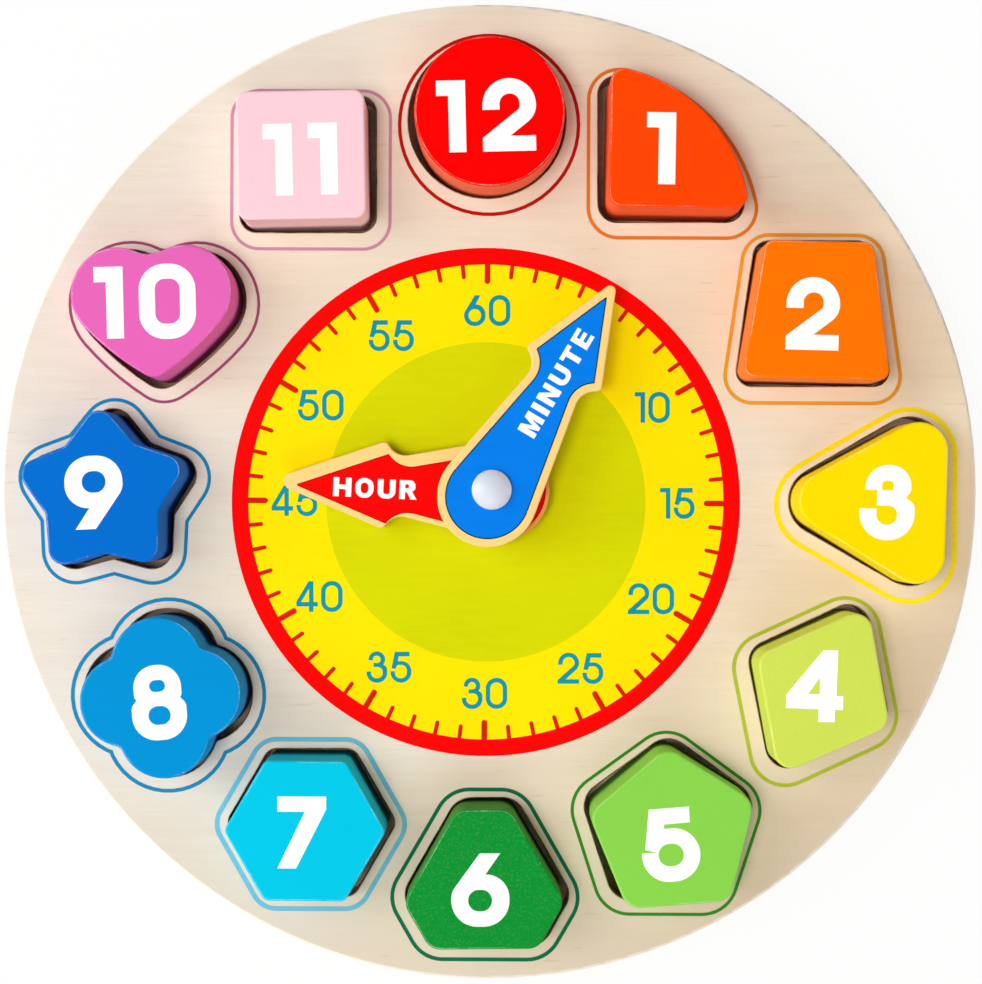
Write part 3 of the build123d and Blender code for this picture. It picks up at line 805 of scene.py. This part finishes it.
class CLOCK_OT_stage(bpy.types.Operator):
    """Set the floor, the even light, the five lamps and the camera"""

    bl_idname = "clock.stage"
    bl_label = "Stage"

    def execute(self, context):
        stage = context.scene.clock_stage
        bpy.ops.object.select_all(action="DESELECT")
        bpy.ops.mesh.primitive_plane_add(size=FLOOR_SIZE, location=(0, 0, CAD_BOX[0].z - FLOOR_GAP))
        floor = context.object
        floor.name = "floor"
        floor.data.materials.append(self.floor_paper())
        self.light_world(stage)
        large, small = stage.large_size, stage.small_size
        self.hang_lamp("key_lamp", KEY_PLACE, stage.key_power, stage.key_colour, large)
        self.hang_lamp("front_lamp", FRONT_PLACE, stage.front_power, stage.front_colour, large)
        self.hang_lamp("side_lamp", SIDE_PLACE, stage.side_power, stage.low_colour, small)
        self.hang_lamp("rim_lamp", RIM_PLACE, stage.rim_power, stage.low_colour, small)
        over = self.hang_lamp("top_lamp", TOP_PLACE, stage.top_power, stage.top_colour, small)
        # It gives no glare on the paint, as with a polarising filter
        over.visible_glossy = False
        bpy.ops.object.camera_add(location=(0, CAMERA_Y, stage.camera_height), rotation=(0, 0, 0))
        camera = context.object
        camera.name = "camera"
        camera.data.sensor_fit = "HORIZONTAL"
        camera.data.sensor_width = SENSOR_WIDTH
        camera.data.lens = stage.lens
        camera.data.shift_x, camera.data.shift_y = CAMERA_SHIFT
        camera.data.dof.use_dof = False
        context.scene.camera = camera
        context.scene.view_settings.view_transform = "Standard"
        return {"FINISHED"}

    def hang_lamp(self, name, place, watts, tint, size):
        """A square lamp that faces the clock."""
        bpy.ops.object.light_add(type="AREA", location=place)
        lamp = bpy.context.object
        lamp.name = name
        lamp.rotation_euler = (-lamp.location).to_track_quat("-Z", "Y").to_euler()
        lamp.data.size = size
        lamp.data.energy = watts
        lamp.data.color = tint
        return lamp

    def floor_paper(self):
        """White paper that glows in the camera's view, and still shows some of the clock's shadow."""
        finish = Finish("floor_paper", roughness=0.9, specular=0.0)
        grain = finish.noise(900)
        finish.coloured(finish.blend(finish.ranged(grain, 0.3, 0.7), (0.88, 0.88, 0.88), (0.9, 0.9, 0.9)))
        seen = finish.add("ShaderNodeLightPath").outputs["Is Camera Ray"]
        glow = finish.add("ShaderNodeEmission", {"Color": (1, 1, 1, 1), "Strength": 1.0}).outputs[0]
        layers = {0: finish.times(seen, 0.92), 1: finish.shader.outputs[0], 2: glow}
        mixed = finish.add("ShaderNodeMixShader", layers).outputs[0]
        finish.links.new(mixed, finish.nodes["Material Output"].inputs["Surface"])
        return finish.material

    def light_world(self, stage):
        """Even warm light on the clock, with white behind it for the camera and for reflections."""
        world = bpy.data.worlds.new("even_light")
        world.use_nodes = True
        bpy.context.scene.world = world
        tree = world.node_tree
        path = add_node(tree, "ShaderNodeLightPath").outputs
        seen = path["Is Camera Ray"]
        for other in ("Is Glossy Ray", "Is Transmission Ray"):
            rays = {0: seen, 1: path[other]}
            seen = add_node(tree, "ShaderNodeMath", rays, operation="MAXIMUM").outputs[0]
        levels = {0: seen, 6: (*stage.surround, 1), 7: (1, 1, 1, 1)}
        level = add_node(tree, "ShaderNodeMix", levels, data_type="RGBA").outputs[2]
        tree.links.new(level, tree.nodes["Background"].inputs["Color"])


class CLOCK_OT_board(bpy.types.Operator):
    """Finish the face panel and the back panel"""

    bl_idname = "clock.board"
    bl_label = "Board"

    def execute(self, context):
        colours = context.scene.clock_colours
        dress("face_panel", face_plywood("face_plywood", colours.cream_wood, colours.tan_wood))
        dress("back_panel", back_plywood("back_plywood", colours.back_wood))
        return {"FINISHED"}


class CLOCK_OT_blocks(bpy.types.Operator):
    """Paint the twelve blocks and print their numbers"""

    bl_idname = "clock.blocks"
    bl_label = "Blocks"

    def execute(self, context):
        colours = context.scene.clock_colours
        height = context.scene.clock_print.numeral_height / MM
        white = ink("numeral_ink", colours.numeral, 0.01)
        for hour, (node, offset, turn) in BLOCKS.items():
            paint = getattr(colours, f"block_{hour}")
            dress(node, painted_wood(f"paint_{hour}", paint, WALL_BOUNCE_SHARES[hour], hour == SPECKLED_HOUR))
            centre = middle_of(node)
            place = (centre[0] + offset[0], centre[1] + offset[1])
            loops = placed(lettered(str(hour), BOLD, height, DIGIT_SPACE.get(hour, 0)), place, turn)
            print_ink(f"numeral_{hour}", loops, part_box(node)[1].z, white, f"block_{hour}")
        return {"FINISHED"}


class CLOCK_OT_outlines(bpy.types.Operator):
    """Print a coloured outline round each socket"""

    bl_idname = "clock.outlines"
    bl_label = "Socket outlines"

    # The outlines' print stands a little low on the board, and is turned a little clockwise
    shift = (0.06, -0.92)
    turn = -0.27
    scale = 0.996
    # Some outlines are printed broader than the others, by these shares
    broad = {12: 1.12, 1: 1.1, 2: 1.15, 3: 1.6, 4: 1.15, 6: 1.2, 7: 1.5, 8: 1.2, 9: 1.1, 10: 0.9}
    # Hour: (shift across, shift up, growth) of one outline from the common print, in millimetres
    own = {1: (0.08, 0.35, 0.12), 2: (0.12, 0.2, 0.2), 3: (0.15, 0.35, 0.28), 4: (-0.2, -0.12, 0.44),
           6: (-0.08, -0.05, 0.18), 7: (-0.03, 0.1, 0.1), 8: (-0.1, -0.1, 0.26), 9: (-0.06, -0.05, 0.26),
           11: (0.05, -0.2, 0.12)}

    def execute(self, context):
        colours = context.scene.clock_colours
        sizes = context.scene.clock_print
        sockets = section("face_panel", FACE_TOP - SECTION_DEPTH)
        char = charred("charred_edge", colours.char)
        for hour, (node, _, _) in BLOCKS.items():
            centre = middle_of(node)
            socket = min(sockets, key=lambda loop: self.offness(loop, centre))
            half = sizes.outline_width / MM / 2 * self.broad.get(hour, 1)
            across, up, growth = self.own.get(hour, (0, 0, 0))
            middle = sizes.outline_offset / MM + growth
            loops = [grown(socket, middle + half), grown(socket, middle - half)]
            loops = placed(loops, (self.shift[0] + across, self.shift[1] + up), self.turn, self.scale)
            finish = ink(f"outline_ink_{hour}", getattr(colours, f"outline_{hour}"), 0.12)
            print_ink(f"socket_outline_{hour}", loops, FACE_TOP, finish, "root", 1)
            print_line(f"socket_edge_{hour}", socket, sizes.char_width / MM, FACE_TOP, char, "root")
        return {"FINISHED"}

    def offness(self, loop, centre):
        """How far the middle of a loop's box is from a point."""
        across = [x for x, y in loop]
        along = [y for x, y in loop]
        return hypot((min(across) + max(across)) / 2 - centre[0], (min(along) + max(along)) / 2 - centre[1])


class CLOCK_OT_dial(bpy.types.Operator):
    """Print the dial's ring, faces, minute marks and numbers"""

    bl_idname = "clock.dial"
    bl_label = "Dial"

    def execute(self, context):
        colours = context.scene.clock_colours
        sizes = context.scene.clock_print
        outer, inner = sizes.ring_outer / MM, sizes.ring_inner / MM
        centre = sizes.centre_radius / MM
        bands = (("dial_ring", outer, inner, colours.ring), ("dial_face", inner, centre, colours.dial))
        for name, wide, narrow, screen_colour in bands:
            loops = [circle(wide, DIAL_MIDDLE), circle(narrow, DIAL_MIDDLE)]
            print_ink(name, loops, FACE_TOP, ink(f"{name}_ink", screen_colour, 0.03), "root")
        # The washer under the hands stands on bare wood
        low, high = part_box("spacer_washer")
        bare = ((high.x - low.x) / 2 + sizes.washer_gap) / MM
        loops = [circle(centre, DIAL_MIDDLE), circle(bare, PIVOT)]
        print_ink("dial_centre", loops, FACE_TOP, ink("dial_centre_ink", colours.centre), "root")
        self.mark_minutes(sizes, colours, inner)
        number_ink = ink("number_ink", colours.number, 0.1)
        reach = sizes.number_radius / MM
        height = sizes.number_height / MM
        for minute in range(5, 65, 5):
            around = radians(90 - 6 * minute + DIAL_TURN)
            middle = (DIAL_MIDDLE[0] + reach * cos(around), DIAL_MIDDLE[1] + reach * sin(around))
            loops = placed(lettered(str(minute), THIN, height, NUMBER_SPACE * height), middle)
            print_ink(f"dial_number_{minute}", loops, FACE_TOP, number_ink, "root", 1)
        return {"FINISHED"}

    def mark_minutes(self, sizes, colours, reach, overlap=0.05):
        """Prints the sixty marks as one film; each is round at its inner end, and overlaps the ring."""
        loops = []
        for minute in range(60):
            major = minute % 5 == 0
            half = (sizes.major_width if major else sizes.minor_width) / MM / 2
            depth = (sizes.major_tick if major else sizes.minor_tick) / MM
            start, end = reach + overlap, reach - depth
            mark = [(start, half), (start, -half), (end, -half, half), (end, half, half)]
            loops += placed([rounded(mark)], DIAL_MIDDLE, DIAL_TURN + 6 * minute)
        print_ink("dial_marks", loops, FACE_TOP, ink("mark_ink", colours.tick), "root", 1)


class CLOCK_OT_hands(bpy.types.Operator):
    """Finish the hands' wood, and print their paint and their words"""

    bl_idname = "clock.hands"
    bl_label = "Hands"

    def execute(self, context):
        colours = context.scene.clock_colours
        sizes = context.scene.clock_hands
        film = context.scene.clock_print.film
        white = ink("word_ink", colours.numeral, 0.01)
        height = sizes.minute_word / MM
        minute = placed(lettered("MINUTE", LETTERS, height, MINUTE_SPACE * height, 0), MINUTE_WORD_START)
        height = sizes.hour_word / MM
        # The hour hand points to the left, so its word is turned to be read
        hour = placed(lettered("HOUR", LETTERS, height, HOUR_SPACE * height), HOUR_WORD_MIDDLE, 180)
        for name, turn, border, slide, tail, stain, paint, edge, word in (
            ("minute_hand", MINUTE_TURN, sizes.minute_border, (0, 0), 1, 0,
             colours.minute, colours.minute_edge, minute),
            ("hour_hand", HOUR_TURN, sizes.hour_border, HOUR_SLIDE, HOUR_TAIL, HOUR_TAIL_BOUNCE,
             colours.hour, colours.hour_edge, hour),
        ):
            dress(name, hand_wood(f"{name}_wood", colours.hand_wood, turn, stain))
            low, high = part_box(name)
            outline = max(section(name, (low.z + high.z) / 2), key=len)
            painted = slid(grown(outline, -border / MM), turn, slide, tail)
            loops = [painted, circle(sizes.pin_hole / MM, PIVOT)]
            print_ink(f"{name}_paint", loops, high.z, ink(f"{name}_ink", paint), name)
            edge_ink = ink(f"{name}_edge_ink", edge)
            print_line(f"{name}_paint_edge", painted, sizes.paint_edge / MM, high.z + film, edge_ink, name)
            print_ink(f"{name}_word", placed(word, PIVOT, turn), high.z, white, name, 1)
        return {"FINISHED"}


class CLOCK_OT_pivot(bpy.types.Operator):
    """Finish the knob, the back cap and the two washers"""

    bl_idname = "clock.pivot"
    bl_label = "Pivot"

    def execute(self, context):
        colours = context.scene.clock_colours
        knob = plastic("knob_plastic", colours.knob, 0.35, 0.5)
        washer = plastic("washer_plastic", colours.washer, 0.6)
        for node in ("pivot_knob", "back_cap"):
            dress(node, knob)
        for node in ("spacer_washer", "hand_washer"):
            dress(node, washer)
        return {"FINISHED"}


OPERATORS = (CLOCK_OT_stage, CLOCK_OT_board, CLOCK_OT_blocks, CLOCK_OT_outlines, CLOCK_OT_dial,
             CLOCK_OT_hands, CLOCK_OT_pivot)
GROUPS = {
    "clock_print": ClockPrintSizes,
    "clock_hands": ClockHandSizes,
    "clock_colours": ClockColours,
    "clock_stage": ClockStageSizes,
}


class CLOCK_PT_panel(bpy.types.Panel):
    """The clock's operators and its sizes and colours"""

    bl_idname = "CLOCK_PT_panel"
    bl_label = "Shape sorting clock"
    bl_space_type = "VIEW_3D"
    bl_region_type = "UI"
    bl_category = "Clock"

    def draw(self, context):
        for operator in OPERATORS:
            self.layout.operator(operator.bl_idname)
        for group in GROUPS:
            box = self.layout.box()
            settings = getattr(context.scene, group)
            for setting in settings.bl_rna.properties.keys():
                if setting not in {"rna_type", "name"}:
                    box.prop(settings, setting)


def register():
    """Adds the clock's settings, operators and panel."""
    for group in (*GROUPS.values(), *OPERATORS, CLOCK_PT_panel):
        bpy.utils.register_class(group)
    for name, group in GROUPS.items():
        setattr(bpy.types.Scene, name, PointerProperty(type=group))


def unregister():
    """Takes the clock's settings, operators and panel away."""
    for name in GROUPS:
        delattr(bpy.types.Scene, name)
    for group in (CLOCK_PT_panel, *OPERATORS, *GROUPS.values()):
        bpy.utils.unregister_class(group)


def main():
    """Dresses the clock."""
    register()
    for step in ("stage", "board", "blocks", "outlines", "dial", "hands", "pivot"):
        getattr(bpy.ops.clock, step)()


if __name__ == "__main__":
    main()
